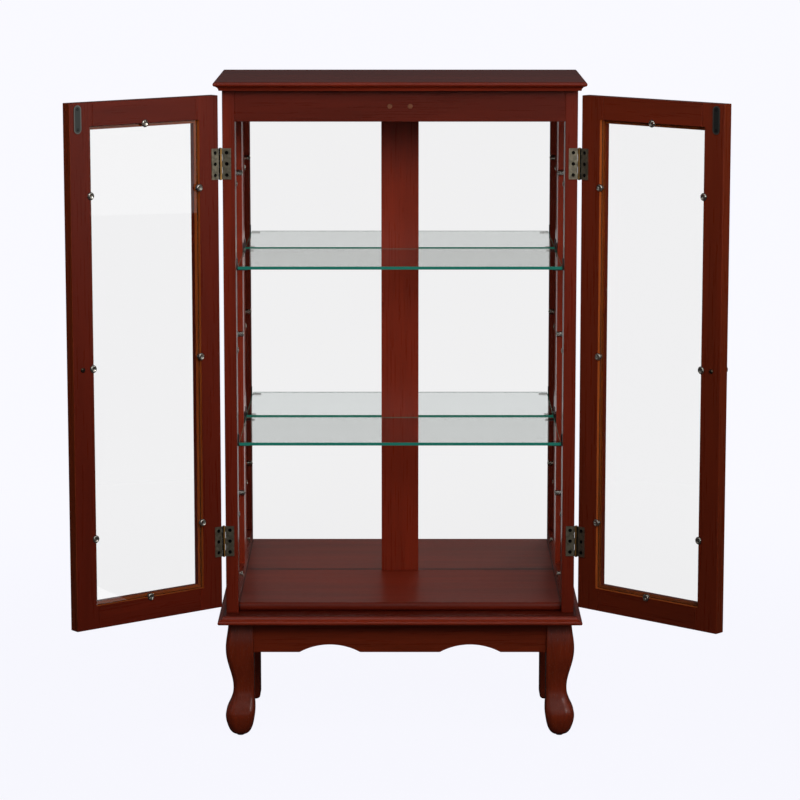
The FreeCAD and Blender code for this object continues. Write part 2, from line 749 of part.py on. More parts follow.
# Small fittings that are made once and copied
side_clip = clip("side_clip", dims.side_rebate_depth - dims.side_glass_thickness)
door_clip = clip("door_clip", dims.door_rebate_depth - dims.door_glass_thickness)
clip_screw = screw("clip_screw", dims.clip_screw_head, dims.clip_screw_rise, dims.clip_screw_shank,
                   dims.clip_screw_length, sunk=False)
hinge_screw = screw("hinge_screw", dims.hinge_screw_head, dims.hinge_screw_sink, dims.hinge_screw_shank,
                    dims.hinge_screw_length, sunk=True)
strike_screw = screw("strike_screw", dims.strike_screw_head, dims.strike_screw_sink, dims.strike_screw_shank,
                     dims.strike_screw_length, sunk=True)
frame_leaf = hinge_leaf("frame_leaf", 1, range(0, KNUCKLES, 2))
door_leaf = hinge_leaf("door_leaf", -1, range(1, KNUCKLES, 2))
pin_end = dims.hinge_height / 2
hinge_pin = turned("hinge_pin", [
    (ZERO, pin_end + dims.pin_head_height), (ZERO, -pin_end - dims.pin_head_height),
    (dims.pin_head_radius, -pin_end - dims.pin_head_height * ARC_EASE_SHARE),
    (dims.pin_head_radius, -pin_end), (dims.pin_radius, -pin_end),
    (dims.pin_radius, pin_end), (dims.pin_head_radius, pin_end),
    (dims.pin_head_radius, pin_end + dims.pin_head_height * ARC_EASE_SHARE)])
doc.recompute()

glide_inset = dims.leg_width / 2
front_foot = dims.leg_width * ((FRONT_LEG_SHARES[-1][1] + FRONT_LEG_SHARES[-1][2]) / 2)
copies("foot_glides", [(glide, [
    FreeCAD.Placement(point(hand * (half_width - inset), side * (back - inset), ZERO), FreeCAD.Rotation())
    for hand in (-1, 1) for side, inset in ((-1, front_foot), (1, glide_inset))])])
copies("magnet_catches", [(magnet, magnet_hole_places)])
copies("back_panel_screws", [(back_screw, back_screw_places)])
side_clips = clip_seats(side_clip_places)
copies("side_glass_clips", [(side_clip, side_clips)])
for name, level in shelf_heights.items():
    places = []
    for hand in (-1, 1):
        for line in bracket_lines:
            places.append(seat(point(hand * inner, line, level), Z, Y * -hand))
    copies(f"{name}_shelf_brackets", [(bracket, places)])

# Hinges on the carcass
hinge_places = [FreeCAD.Placement(point(-hand * axis_x, axis_y, level), turned_over(hand))
                for _, hand, _ in HANDS for level in hinge_levels]
copies("hinge_frame_leaves", [(frame_leaf, hinge_places)])
copies("hinge_pins", [(hinge_pin, hinge_places)])
frame_screw_places = [place.multiply(spot) for place in hinge_places for spot in leaf_screw_seats(1)]
copies("cabinet_screws", [(hinge_screw, frame_screw_places), (clip_screw, clip_screw_seats(side_clips))])

# Doors, each closed about its own hinge axis, with Y to the rear, and then swung open
door_back = -dims.door_gap / 2
door_front = door_back - dims.door_thickness
door_seat_y = door_back - dims.door_rebate_depth
frame_edge = dims.door_frame_width - dims.door_rebate_width
for side, hand, angle in HANDS:
    swing = FreeCAD.Placement(point(-hand * axis_x, axis_y, ZERO), FreeCAD.Rotation(Z, -hand * angle.value))
    name = f"{side}_door"
    near, far = axis_reach, axis_reach + door_width
    thick = (door_front, door_back)
    seat_x = (near + frame_edge, far - frame_edge)
    seat_z = (door_low + frame_edge, door_high - frame_edge)
    cut = (door_seat_y, door_back + dims.cut_overrun)
    rebate = block(f"{name}_rebate", span(hand, *seat_x), cut, seat_z)
    knob_x = hand * (far - dims.knob_edge_distance)
    drill = seat(point(knob_x, door_front - dims.door_thickness / 2, door_middle), Y, Z)
    knob_hole = rod(f"{name}_knob_hole", dims.knob_screw_shank + dims.knob_hole_clearance,
                    2 * dims.door_thickness, drill)
    stile = dims.door_frame_width
    full = (door_low, door_high)
    board(f"{name}_hinge_stile", span(hand, near, near + stile), thick, full, (rebate,), swing)
    board(f"{name}_free_stile", span(hand, far - stile, far), thick, full, (rebate, knob_hole), swing)
    rail = span(hand, near + stile, far - stile)
    board(f"{name}_bottom_rail", rail, thick, (door_low, door_low + stile), (rebate,), swing)
    board(f"{name}_top_rail", rail, thick, (door_high - stile, door_high), (rebate,), swing)
    pane_x = span(hand, seat_x[0] + dims.glass_clearance, seat_x[1] - dims.glass_clearance)
    pane_z = (seat_z[0] + dims.glass_clearance, seat_z[1] - dims.glass_clearance)
    plate(f"{name}_glass", pane_x, (door_seat_y, door_seat_y + dims.door_glass_thickness), pane_z,
          dims.shelf_edge_bevel, swing)

    middle_x = hand * (seat_x[0] + seat_x[1]) / 2
    edges = [(point(middle_x, door_back, seat_z[0]), Z, Y),
             (point(middle_x, door_back, seat_z[1]), Z * -1, Y)]
    for step in (-1, 0, 1):
        level = door_middle + step * dims.clip_spacing
        edges.append((point(hand * seat_x[0], door_back, level), X * hand, Y))
        edges.append((point(hand * seat_x[1], door_back, level), X * -hand, Y))
    clips = clip_seats(edges)
    copies(f"{name}_glass_clips", [(door_clip, clips)], swing)

    strike_x = hand * (far - dims.strike_edge_distance)
    strike_place = seat(point(strike_x, door_back, strike_level), Y, Z)
    strike = new_body(f"{name}_strike_plate")
    bend, straight = dims.strike_width / 2, dims.strike_length / 2 - dims.strike_width / 2
    strike_face = outline(strike, f"{name}_strike_face", "XY_Plane", [
        (bend, -straight), (bend, straight, bend, 1), (ZERO, straight + bend, bend, 1), (-bend, straight),
        (-bend, -straight, bend, 1), (ZERO, -straight - bend, bend, 1)])
    pad(strike, strike_face, dims.strike_thickness)
    node(strike, f"{name}_strike_plate", swing.multiply(strike_place))
    strike_screws = [strike_place.multiply(FreeCAD.Placement(
        point(ZERO, step * dims.strike_screw_spacing / 2, dims.strike_thickness), FreeCAD.Rotation()))
        for step in (-1, 1)]

    knob_corners = [(dims.knob_radius * radius, dims.knob_height * height) for radius, height in KNOB_SHARES]
    knob = turned(f"{name}_knob", [(ZERO, dims.knob_height), (ZERO, ZERO), *knob_corners])
    node(knob, f"{name}_knob", swing.multiply(seat(point(knob_x, door_front, door_middle), Y * -1, Z)))
    knob_screw = screw(f"{name}_knob_screw", dims.knob_screw_head, dims.knob_screw_rise,
                       dims.knob_screw_shank, dims.door_thickness + dims.knob_engagement, sunk=False)
    node(knob_screw, f"{name}_knob_screw", swing.multiply(seat(point(knob_x, door_back, door_middle), Y, Z)))

    door_hinges = [FreeCAD.Placement(point(ZERO, ZERO, level), turned_over(hand)) for level in hinge_levels]
    copies(f"{name}_hinge_leaves", [(door_leaf, door_hinges)], swing)
    leaf_screws = [place.multiply(spot) for place in door_hinges for spot in leaf_screw_seats(-1)]
    copies(f"{name}_screws", [(hinge_screw, leaf_screws), (clip_screw, clip_screw_seats(clips)),
                              (strike_screw, strike_screws)], swing)

doc.recompute()
faults = [piece.Label for piece in doc.Objects if {"Invalid", "Error"} & set(piece.State)]
faults += [piece.Label for piece in nodes if piece.Shape.isNull() or not piece.Shape.isValid()]
if faults:
    raise ValueError(f"these pieces failed: {faults}")
os.makedirs("parts", exist_ok=True)
for piece in nodes:
    piece.Shape.exportStep(f"parts/{piece.Label}.step")
print(len(nodes), "pieces written")
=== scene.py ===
# %% [markdown]
# # A display cabinet with open glass doors
#
# The cabinet stands on four legs. It has a moulded top and base, glazed sides and doors, two glass shelves
# and a mirror for a back. Its solids come from the packed frame and stay where they are. This lesson gives
# them their finishes, adds the pieces that a solid shows too plainly, and sets up the studio around them.

import json
import math

import bpy
from mathutils import Matrix, Vector


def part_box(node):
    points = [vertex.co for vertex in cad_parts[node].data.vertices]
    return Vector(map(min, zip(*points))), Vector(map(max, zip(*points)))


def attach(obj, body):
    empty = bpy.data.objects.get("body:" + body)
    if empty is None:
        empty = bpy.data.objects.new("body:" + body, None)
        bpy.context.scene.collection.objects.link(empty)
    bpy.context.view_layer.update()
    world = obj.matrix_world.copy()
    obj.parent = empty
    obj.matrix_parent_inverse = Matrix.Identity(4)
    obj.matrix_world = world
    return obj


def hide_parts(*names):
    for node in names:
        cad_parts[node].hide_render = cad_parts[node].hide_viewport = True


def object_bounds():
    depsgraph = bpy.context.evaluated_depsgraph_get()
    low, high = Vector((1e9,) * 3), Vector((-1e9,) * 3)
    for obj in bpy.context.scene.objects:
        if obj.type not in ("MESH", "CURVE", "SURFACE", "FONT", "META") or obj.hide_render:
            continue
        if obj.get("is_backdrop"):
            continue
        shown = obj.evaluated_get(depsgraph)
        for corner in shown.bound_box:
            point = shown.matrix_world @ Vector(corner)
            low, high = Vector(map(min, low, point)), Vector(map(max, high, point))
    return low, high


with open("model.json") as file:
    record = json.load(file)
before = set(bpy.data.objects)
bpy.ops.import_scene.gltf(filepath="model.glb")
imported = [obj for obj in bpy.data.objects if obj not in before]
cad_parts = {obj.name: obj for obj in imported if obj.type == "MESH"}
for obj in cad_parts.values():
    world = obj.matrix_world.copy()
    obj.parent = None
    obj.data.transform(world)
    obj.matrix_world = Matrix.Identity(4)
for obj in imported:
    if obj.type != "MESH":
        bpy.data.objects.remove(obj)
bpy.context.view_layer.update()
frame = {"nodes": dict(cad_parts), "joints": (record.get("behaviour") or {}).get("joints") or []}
nodes = frame["nodes"]
bpy.ops.object.select_all(action="DESELECT")
bpy.context.scene.view_settings.view_transform = "Standard"

# %% [markdown]
# ## Writing shaders as sums
#
# A finish is a chain of nodes. They could be wired one by one, but a mask such as 1 - streak * 0.3 is then
# five lines of links. One small class wraps an output socket instead: Python's own operators on it add the
# Math nodes, and one method adds every other kind of node.


# %% A wire between shader nodes
class Wire:
    """One output of a shader node. Operators on it add Math nodes to the same tree."""

    def __init__(self, tree, socket=None):
        self.tree = tree
        self.socket = socket

    def add(self, kind, settings=None, sockets=None, output=0):
        """Adds a node: first its settings, then the values or wires of its sockets."""
        node = self.tree.nodes.new(kind)
        for name, value in (settings or {}).items():
            if name == "stops":
                elements = node.color_ramp.elements
                while len(elements) < len(value):
                    elements.new(1.0)
                for element, (place, color) in zip(elements, value):
                    element.position = place
                    element.color = (*color, 1.0)
            else:
                setattr(node, name, value)
        for name, value in (sockets or {}).items():
            if isinstance(value, Wire):
                self.tree.links.new(value.socket, node.inputs[name])
            else:
                node.inputs[name].default_value = value
        return Wire(self.tree, node.outputs[output] if node.outputs else None)

    def math(self, operation, first, second=0.0):
        return self.add("ShaderNodeMath", {"operation": operation}, {0: first, 1: second})

    def __add__(self, other):
        return self.math("ADD", self, other)

    __radd__ = __add__

    def __sub__(self, other):
        return self.math("SUBTRACT", self, other)

    def __rsub__(self, other):
        return self.math("SUBTRACT", other, self)

    def __mul__(self, other):
        return self.math("MULTIPLY", self, other)

    __rmul__ = __mul__

    def __gt__(self, other):
        return self.math("GREATER_THAN", self, other)

    def __lt__(self, other):
        return self.math("LESS_THAN", self, other)

    def __abs__(self):
        return self.math("ABSOLUTE", self)

    def larger(self, other):
        return self.math("MAXIMUM", self, other)

    def ease(self, low, high):
        """Zero below low and one above high, with a soft step between."""
        settings = {"interpolation_type": "SMOOTHSTEP"}
        return self.add("ShaderNodeMapRange", settings, {"Value": self, "From Min": low, "From Max": high})

    def blend(self, first, second):
        """The first color where this wire is zero, and the second where it is one."""
        return self.add("ShaderNodeMix", {"data_type": "RGBA"}, {0: self, 6: first, 7: second}, output=2)

    def part(self, axis):
        return self.add("ShaderNodeSeparateXYZ", {}, {"Vector": self}, output=axis)


print("a wire has", sum(map(callable, vars(Wire).values())), "methods")

# %% [markdown]
# A finish starts as an empty material and ends in a Principled surface. A solid of the frame keeps its
# mesh, so dressing it only fills its material slot.


# %% Starting, closing and wearing a finish
def opaque(color):
    return (*color, 1.0)


def new_finish(name):
    """An empty material and the first wire of its node tree."""
    material = bpy.data.materials.new(name)
    material.use_nodes = True
    material.node_tree.nodes.clear()
    return material, Wire(material.node_tree)


def close_finish(start, sockets):
    """Ends a finish with a Principled surface that has these sockets."""
    surface = start.add("ShaderNodeBsdfPrincipled", {}, sockets)
    start.add("ShaderNodeOutputMaterial", {}, {"Surface": surface})


def dress(material, *names):
    """Gives solids of the frame a finish."""
    for name in names:
        slots = nodes[name].material_slots
        if slots:
            slots[0].material = material
        else:
            nodes[name].data.materials.append(material)


print("solids to dress:", len(nodes))

# %% [markdown]
# ## The mahogany
#
# Every board is stained a deep red-brown and lacquered to a satin gloss. A painted texture would need an
# unwrapped mesh, and the solids have none. Noise that is stretched along the board gives the grain instead:
# a Mapping node of the Texture kind divides the place by the size of a streak in metres, so one recipe
# serves every board, and it turns with a door that stands open. A wide streak is the figure, a narrow one a
# fiber and a short one a pore.

# %% The grain of a board
DEEP_STAIN = (0.062, 0.0068, 0.0027)
BODY_STAIN = (0.120, 0.0114, 0.0040)
BRIGHT_STAIN = (0.250, 0.0240, 0.0072)
# the pores' stain, also used as painted shade in the floor's corners and on the base board's top
PORE_STAIN_AND_SHADE = (0.030, 0.0028, 0.0014)
# a thin orange stain, also used as painted light on the doors' rebate walls and a painted highlight on their
# free edges
THIN_STAIN_AND_LIGHT = (0.420, 0.0900, 0.0150)
FIGURE, FIBER, PORE = (0.028, 0.40), (0.0034, 0.09), (0.00085, 0.014)
FIGURE_SHARE, FIBER_SHARE, PORE_SHARE = 0.55, 0.28, 0.22
PORE_START, PORE_END = 0.60, 0.72
FIBER_ROUGH, PORE_ROUGH = 0.06, 0.05
GRAIN_DEPTH = 0.0004


def own_place(start, spot, hinge, turn):
    """The place of a spot in its piece's own frame, before the piece was turned about its hinge."""
    return start.add("ShaderNodeMapping", {"vector_type": "TEXTURE"}, {
        "Vector": spot, "Location": hinge, "Rotation": (0, 0, turn)})


def streaks(start, spot, along, origin, turn, sizes, detail, distortion=0.0):
    """Noise whose features are sizes = (width, length) in metres, with the length along one axis."""
    width, length = sizes
    scale = [length if axis == along else width for axis in "XYZ"]
    place = start.add("ShaderNodeMapping", {"vector_type": "TEXTURE"}, {
        "Vector": spot, "Location": origin, "Rotation": (0, 0, turn), "Scale": scale})
    return start.add("ShaderNodeTexNoise", {}, {
        "Vector": place, "Scale": 1.0, "Detail": detail, "Roughness": 0.55, "Distortion": distortion})


def mahogany(name, along, plank=(0, 0, 0), tone=0.5, hinge=(0, 0, 0), turn=0.0, patches=(), gloss=0.28,
             polish=0.2):
    """Stained wood with its grain along an axis of the board, which may be turned about a hinge.

    plank is the board's place in the noise. A patch is a low corner, a high corner, a color and its share.
    """
    material, start = new_finish(name)
    spot = start.add("ShaderNodeTexCoord", output="Object")
    origin = Vector(plank) + Vector(hinge)
    figure = streaks(start, spot, along, origin, turn, FIGURE, 3.0, distortion=0.6)
    fiber = streaks(start, spot, along, origin, turn, FIBER, 2.0)
    pore = streaks(start, spot, along, origin, turn, PORE, 1.0)
    shade = (figure - 0.5) * FIGURE_SHARE + (fiber - 0.5) * FIBER_SHARE + tone
    color = shade.add("ShaderNodeValToRGB", {"stops": [
        (0.0, DEEP_STAIN), (0.5, BODY_STAIN), (1.0, BRIGHT_STAIN)]}, {"Fac": shade})
    pores = pore.ease(PORE_START, PORE_END)
    color = (pores * PORE_SHARE).blend(color, opaque(PORE_STAIN_AND_SHADE))
    # a patch's color is stain, painted shade or painted light, as the caller gives it
    for low, high, patch_color, share in patches:
        place = own_place(start, spot, hinge, turn)
        inside = share * (0.5 + fiber)
        for axis in range(3):
            along_axis = place.part(axis)
            inside = inside * (along_axis > low[axis]) * (along_axis < high[axis])
        color = inside.blend(color, opaque(patch_color))
    rough = gloss + (fiber - 0.5) * FIBER_ROUGH + pores * PORE_ROUGH
    bump = start.add("ShaderNodeBump", {}, {
        "Height": fiber * 0.35 - pores, "Strength": 0.05, "Distance": GRAIN_DEPTH})
    close_finish(start, {
        "Base Color": color, "Roughness": rough, "Normal": bump, "Specular IOR Level": polish})
    return material


print("streaks of a board, width and length in metres:", FIGURE, FIBER, PORE)

# %% [markdown]
# The boards are cut from different planks, so each group gets its own tone and its own origin in the noise.
# Some tones stand for light: the front rail is toned darker as painted shade under the cornice, and the rear
# stiles and the center stile lighter as painted light. The grain runs the long way of each board: up the
# stiles and legs, across the rails and boards, and from front to back in the side rails. The floor board is
# dark along the side rails and the mirror, partly stain and wax gathered in the joints and partly painted
# shade in those corners, and darker along its rounded front edge as painted shade. The base board's top is
# darkened as painted shade, which falls under the floor board's rounded edge. The legs and aprons took the
# stain thinly and are browner. Each of these is a box in the board with its own color, which is simpler than
# a painted mask and needs no unwrapping.

# %% Which way the grain runs
SIDES = ("left", "right")
FAR = 1.0
SEAM = 0.0024
NOSING = 0.006
TOP_SKIN = 0.0006
mirror_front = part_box("left_mirror")[0].y
rail_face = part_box("right_side_bottom_rail")[0].x
floor_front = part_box("floor_board")[0].y
base_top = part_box("base_board")[1].z
# partly stain in the joints and partly painted shade in the corners by the rails and mirror; painted shade
# along the front edge
floor_joints_and_shade = [
    ((-FAR, mirror_front - 2 * SEAM, 0), (FAR, FAR, FAR), PORE_STAIN_AND_SHADE, 1.00),
    ((rail_face - SEAM, -FAR, 0), (FAR, FAR, FAR), PORE_STAIN_AND_SHADE, 0.85),
    ((-FAR, -FAR, 0), (SEAM - rail_face, FAR, FAR), PORE_STAIN_AND_SHADE, 0.85),
    ((-FAR, -FAR, 0), (FAR, floor_front + NOSING, FAR), PORE_STAIN_AND_SHADE, 0.20)]
# painted shade on the base board's top, under the floor board's rounded edge
base_top_shade = [((-FAR, -FAR, base_top - TOP_SKIN), (FAR, FAR, FAR), PORE_STAIN_AND_SHADE, 0.80)]
pale_stand = [((-FAR, -FAR, 0), (FAR, FAR, FAR), THIN_STAIN_AND_LIGHT, 0.075)]

dress(mahogany("mahogany_top_board", "X", (0.31, 0.2, 0.0), tone=0.53), "top_board")
dress(mahogany("mahogany_base_board", "X", (0.77, 0.1, 0.3), tone=0.83, patches=base_top_shade), "base_board")
dress(mahogany("mahogany_floor_board", "X", (0.13, 0.6, 0.7), tone=0.58, patches=floor_joints_and_shade, gloss=0.36,
               polish=0.14), "floor_board")
dress(mahogany("mahogany_aprons", "X", (0.51, 0.9, 0.4), tone=0.58, patches=pale_stand),
      "front_apron", "rear_apron")
# painted shade: the front rail is toned darker for the cornice's shadow on it
dress(mahogany("mahogany_front_rail", "X", (0.92, 0.3, 0.1), tone=0.19), "front_top_rail")
dress(mahogany("mahogany_legs", "Z", (0.23, 0.4, 0.9), tone=0.60, patches=pale_stand, gloss=0.25,
               polish=0.38),
      "front_left_leg", "front_right_leg", "rear_left_leg", "rear_right_leg")
# painted light: the center stile is toned lighter, as lit from in front
dress(mahogany("mahogany_center_stile", "Z", (0.67, 0.7, 0.2), tone=0.73), "mirror_center_stile")
dress(mahogany("mahogany_front_stiles", "Z", (0.05, 0.3, 0.6), tone=0.51),
      "left_side_front_stile", "right_side_front_stile")
# painted light: the rear stiles are toned lighter, as their inner faces are lit from the side
dress(mahogany("mahogany_rear_stiles", "Z", (0.35, 0.3, 0.1), tone=1.00),
      "left_side_rear_stile", "right_side_rear_stile")
dress(mahogany("mahogany_side_rails", "Y", (0.41, 0.8, 0.1), tone=0.48), "left_apron", "right_apron",
      *[f"{side}_side_{place}_rail" for side in SIDES for place in ("top", "bottom")])
print("seams on the floor board:", len(floor_joints_and_shade), "base board's top at", round(base_top, 4))

# %% [markdown]
# A door stands open, turned about its hinge. Turning the pattern's frame by the same angle keeps the grain
# of a door's rails along the rail. The rebate that holds the glass is a lighter orange, partly thinner stain
# and partly painted light on its walls. The free edge is a little lighter, partly rubbed by hands and partly
# a painted highlight, more on the left door. The right door is toned darker than the left as painted shade,
# and as a whole it is stained more thinly. In the door's own frame all of these are plain boxes.

# %% The doors' wood
HINGES = {joint["child"]: Vector(joint["pos_m"]) for joint in frame["joints"]}
OPEN_ANGLES = {joint["child"]: math.radians(-joint["range_deg"][0]) for joint in frame["joints"]}
DOOR_SIDES = {"left_door": 1, "right_door": -1}
DOOR_REACH = 0.0029
DOOR_WIDTH = 0.2835
DOOR_LOW, DOOR_HIGH = 0.2215, 1.0595
DOOR_EDGE = DOOR_REACH + DOOR_WIDTH
REBATE_INSET = 0.037
REBATE_NEAR, REBATE_FAR = DOOR_REACH + REBATE_INSET, DOOR_EDGE - REBATE_INSET
REBATE_LOW, REBATE_HIGH = DOOR_LOW + REBATE_INSET, DOOR_HIGH - REBATE_INSET
DOOR_BACK, REBATE_FLOOR = -0.0017, -0.01045
MASK_SLACK = 0.0004
EDGE_SKIN = 0.0008
REBATE_SHARE = 0.75
RUBBED_HIGHLIGHT_SHARES = {"left_door": 0.13, "right_door": 0.04}
# painted shade: the right door is toned darker, as its face turns toward the weaker light at the left
DOOR_TONES_WITH_SHADE = {"left_door": 0.41, "right_door": 0.31}
PALE_SHARES = {"left_door": 0.0, "right_door": 0.045}


def door_pose(body, hand):
    """The foot of a door's hinge, and the angle by which the open door is turned about it."""
    return Vector((HINGES[body].x, HINGES[body].y, 0.0)), -hand * OPEN_ANGLES[body]


for body, hand in DOOR_SIDES.items():
    hinge, turn = door_pose(body, hand)
    across = sorted((hand * REBATE_NEAR, hand * REBATE_FAR))
    low = (across[0] - MASK_SLACK, REBATE_FLOOR - MASK_SLACK, REBATE_LOW - MASK_SLACK)
    high = (across[1] + MASK_SLACK, DOOR_BACK - MASK_SLACK, REBATE_HIGH + MASK_SLACK)
    # the rebate's lighter orange: partly thinner stain and partly painted light on its walls
    rebate = (low, high, THIN_STAIN_AND_LIGHT, REBATE_SHARE)
    ends = sorted((hand * (DOOR_EDGE - EDGE_SKIN), hand * FAR))
    # the free edge lighter: partly rubbed and partly a painted highlight, stronger on the left door
    rubbed_highlight = ((ends[0], -FAR, 0), (ends[1], FAR, 2 * FAR), THIN_STAIN_AND_LIGHT, RUBBED_HIGHLIGHT_SHARES[body])
    pale = ((-FAR, -FAR, 0), (FAR, FAR, 2 * FAR), THIN_STAIN_AND_LIGHT, PALE_SHARES[body])
    door = {"tone": DOOR_TONES_WITH_SHADE[body], "hinge": hinge, "turn": turn}
    dress(mahogany(f"mahogany_{body}_stiles", "Z", patches=(pale, rebate, rubbed_highlight), **door),
          f"{body}_hinge_stile", f"{body}_free_stile")
    dress(mahogany(f"mahogany_{body}_rails", "X", patches=(pale, rebate), **door),
          f"{body}_top_rail", f"{body}_bottom_rail")
print("mahogany finishes:", sum(material.name.startswith("mahogany") for material in bpy.data.materials))

# %% [markdown]
# ## Glass and mirror
#
# The panes are clear float glass. They could be a see-through coat on a plane, but the solids have their
# real thickness, so a Principled surface with full transmission bends and reflects as the pane does. The
# shelves' edges are green, because light runs the long way through the iron in the glass, and ground, so
# they scatter it; their glow is painted light, an emission of that green. The normal tells an edge from a
# face, and a Mix Shader changes the clear surface for a green one there. Clear glass casts next to no
# shadow, while the renderer would give it a dark one, so that is turned off.

# %% The panes
CLEAR_PANE = (1.000, 1.000, 0.948)
SHELF_FACE = (0.950, 0.995, 1.000)
SHELF_EDGE = (0.007, 0.075, 0.055)
PANE_EDGE = (0.070, 0.030, 0.012)
# painted light: the shelves' green edges glow with this emission
SHELF_EDGE_PAINTED_GLOW = 1.05
FACE_LIMIT = 0.8
PANES = ("left_side_glass", "right_side_glass", "left_door_glass", "right_door_glass", "lower_shelf",
         "upper_shelf")


def pane(name, face, edge, across, glow=0.0):
    """Clear glass with a ground edge of another color, whose glow is painted light for the light in the
    sheet.

    The pane's faces look along the direction across.
    """
    material, start = new_finish(name)
    spot = start.add("ShaderNodeTexCoord", output="Object")
    normal = start.add("ShaderNodeTexCoord", output="Normal")
    smear = start.add("ShaderNodeTexNoise", {}, {"Vector": spot, "Scale": 14.0, "Detail": 3.0})
    clear = start.add("ShaderNodeBsdfPrincipled", {}, {
        "Base Color": opaque(face), "Transmission Weight": 1.0, "IOR": 1.5, "Roughness": 0.0})
    ground = start.add("ShaderNodeBsdfPrincipled", {}, {
        "Base Color": smear.blend(opaque(edge), opaque([0.6 * part for part in edge])), "Roughness": 0.22,
        "Emission Color": opaque(edge), "Emission Strength": glow})
    faced = start.add("ShaderNodeVectorMath", {"operation": "DOT_PRODUCT"}, {0: normal, 1: across},
                      output="Value")
    surface = start.add("ShaderNodeMixShader", {}, {0: abs(faced) < FACE_LIMIT, 1: clear, 2: ground})
    start.add("ShaderNodeOutputMaterial", {}, {"Surface": surface})
    return material


dress(pane("side_pane", CLEAR_PANE, PANE_EDGE, (1, 0, 0)), "left_side_glass", "right_side_glass")
for body, hand in DOOR_SIDES.items():
    hinge, turn = door_pose(body, hand)
    across = (-math.sin(turn), math.cos(turn), 0)
    dress(pane(f"{body}_pane", CLEAR_PANE, PANE_EDGE, across), f"{body}_glass")
dress(pane("shelf_pane", SHELF_FACE, SHELF_EDGE, (0, 0, 1), SHELF_EDGE_PAINTED_GLOW), "lower_shelf", "upper_shelf")
for name in PANES:
    nodes[name].visible_shadow = False
print("panes without a shadow:", len(PANES))

# %% [markdown]
# The back is a mirror in two halves. It could be a clear pane with a silver coat behind it. A metal without
# any roughness gives the same picture in one reflection, and the faint tint of the glass goes into its
# color.

# %% The mirror
SILVERING = (0.924, 0.922, 0.872)
UNEVEN = 0.985


def mirror(name):
    """Silvered glass, a little darker where the silvering is uneven."""
    material, start = new_finish(name)
    spot = start.add("ShaderNodeTexCoord", output="Object")
    cloud = start.add("ShaderNodeTexNoise", {}, {"Vector": spot, "Scale": 5.0, "Detail": 2.0})
    color = cloud.blend(opaque(SILVERING), opaque([UNEVEN * part for part in SILVERING]))
    close_finish(start, {"Base Color": color, "Metallic": 1.0, "Roughness": 0.0})
    return material


dress(mirror("mirror_silver"), "left_mirror", "right_mirror")
print("mirror's front face at", round(mirror_front, 4))

# %% [markdown]
# ## Metal and plastic fittings
#
# The hinges are antiqued brass and the clips nickel. Metal that is one flat color looks like paint, so each
# has a mottled patina in its color and fine scratches in its roughness. A hinge's knuckle has a painted
# glint on its inner side and painted shade on its outer side. The knuckles stand at one distance from the
# middle of the cabinet, so that distance picks them out.

# %% Metals
MOTTLE = 160.0
SCRATCHES = MOTTLE * 9
SCRATCH_DEPTH = 0.0002
KNUCKLE = 0.0024
NICKEL = (0.46, 0.44, 0.39)
GLINT_BRASS = (0.62, 0.33, 0.10)
KNUCKLE_SHADE = (0.022, 0.020, 0.016)


def metal(name, color, patina, rough, knuckle=None):
    """Metal with a mottled patina. A knuckle that far from the middle has a painted glint and painted shade.
    """
    material, start = new_finish(name)
    spot = start.add("ShaderNodeTexCoord", output="Object")
    cloud = start.add("ShaderNodeTexNoise", {}, {"Vector": spot, "Scale": MOTTLE, "Detail": 3.0})
    fine = start.add("ShaderNodeTexNoise", {}, {"Vector": spot, "Scale": SCRATCHES, "Detail": 2.0})
    worn = cloud.ease(0.38, 0.66)
    shade = worn.blend(opaque(patina), opaque(color))
    if knuckle:
        # painted glint on the knuckle's inner half, painted shade on its outer half
        past = abs(spot.part(0)) - knuckle
        glint_and_shade = (past > 0.0).blend(opaque(GLINT_BRASS), opaque(KNUCKLE_SHADE))
        shade = (abs(past) < KNUCKLE).blend(shade, glint_and_shade)
    bump = start.add("ShaderNodeBump", {}, {"Height": fine, "Strength": 0.08, "Distance": SCRATCH_DEPTH})
    close_finish(start, {"Base Color": shade, "Metallic": 1.0, "Normal": bump,
                         "Roughness": rough + (fine - 0.5) * 0.18 + (0.5 - worn) * 0.10})
    return material


knuckle_place = abs(HINGES["left_door"].x)
antique_brass = metal("antique_brass", (0.400, 0.355, 0.255), (0.230, 0.205, 0.150), 0.42, knuckle_place)
pin_brass = metal("pin_brass", (0.50, 0.34, 0.14), (0.30, 0.20, 0.085), 0.30)
nickel = metal("nickel_plate", NICKEL, (0.30, 0.285, 0.25), 0.24)
knob_screw_brass = metal("knob_screw_brass", (0.120, 0.095, 0.062), (0.040, 0.032, 0.024), 0.40)
back_screw_steel = metal("back_screw_steel", (0.11, 0.105, 0.095), (0.06, 0.056, 0.05), 0.36)
dress(antique_brass, "hinge_frame_leaves", "left_door_hinge_leaves", "right_door_hinge_leaves")
dress(pin_brass, "hinge_pins")
dress(nickel, "side_glass_clips", "left_door_glass_clips", "right_door_glass_clips")
dress(knob_screw_brass, "left_door_knob_screw", "right_door_knob_screw")
dress(back_screw_steel, "back_panel_screws")
print("knuckles at", round(knuckle_place, 4), "from the middle")

# %% [markdown]
# The screws in the hinges and strike plates are dark, and those in the clips bright. In each body these
# screws are one node, which takes one finish, so a mask picks out the dark ones by their distance from the
# middle of the cabinet or, in the door's own frame, from the hinge.

# %% Screws
DARK_SCREW = (0.014, 0.012, 0.010)
FRAME_LEAF_SPAN = (0.270, 0.300)
DOOR_LEAF_SPAN = (0.0, 0.020)
STRIKE_SPAN = (0.262, 0.290)
GRIME = 0.45


